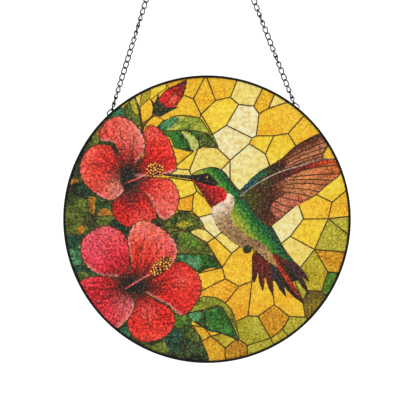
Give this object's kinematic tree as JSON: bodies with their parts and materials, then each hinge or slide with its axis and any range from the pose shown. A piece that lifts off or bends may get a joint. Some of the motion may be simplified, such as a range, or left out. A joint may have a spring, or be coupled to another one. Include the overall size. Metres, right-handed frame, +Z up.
{
  "type": "round printed-glass suncatcher on a chain",
  "caption": "Round pane of textured glass with a printed bird and flower picture, in a black rim that hangs by a chain from a hook.",
  "frame": {"origin": "point where a hook bears on the underside of the upper wire of the chain's middle link", "axes": "+Z up along the hang line, +X to the right of someone who faces the picture, and the picture faces -Y"},
  "size_m": [0.2032, 0.0053, 0.3644],
  "materials": {
    "printed_glass": "pebbled glass with a translucent printed picture in golds, greens and reds",
    "rim_black": "gloss black paint over a metal channel",
    "loop_wire": "dark wire with greyish solder at its feet",
    "chain_black": "satin black blackened steel"
  },
  "bodies": {
    "root": {"glass_pane": "printed_glass", "rim": "rim_black", "hanging_loop_left": "loop_wire", "hanging_loop_right": "loop_wire", "link_left_01": "chain_black", "link_left_02": "chain_black", "link_left_03": "chain_black", "link_left_04": "chain_black", "link_left_05": "chain_black", "link_left_06": "chain_black", "link_left_07": "chain_black", "link_left_08": "chain_black", "link_left_09": "chain_black", "link_left_10": "chain_black", "link_left_11": "chain_black", "link_left_12": "chain_black", "link_left_13": "chain_black", "link_left_14": "chain_black", "link_left_15": "chain_black", "link_left_16": "chain_black", "link_left_17": "chain_black", "link_right_01": "chain_black", "link_right_02": "chain_black", "link_right_03": "chain_black", "link_right_04": "chain_black", "link_right_05": "chain_black", "link_right_06": "chain_black", "link_right_07": "chain_black", "link_right_08": "chain_black", "link_right_09": "chain_black", "link_right_10": "chain_black", "link_right_11": "chain_black", "link_right_12": "chain_black", "link_right_13": "chain_black", "link_right_14": "chain_black", "link_right_15": "chain_black", "link_right_16": "chain_black", "link_right_17": "chain_black", "chain_run_left": "chain_black", "chain_run_right": "chain_black", "link_top": "chain_black"}
  },
  "joints": []
}
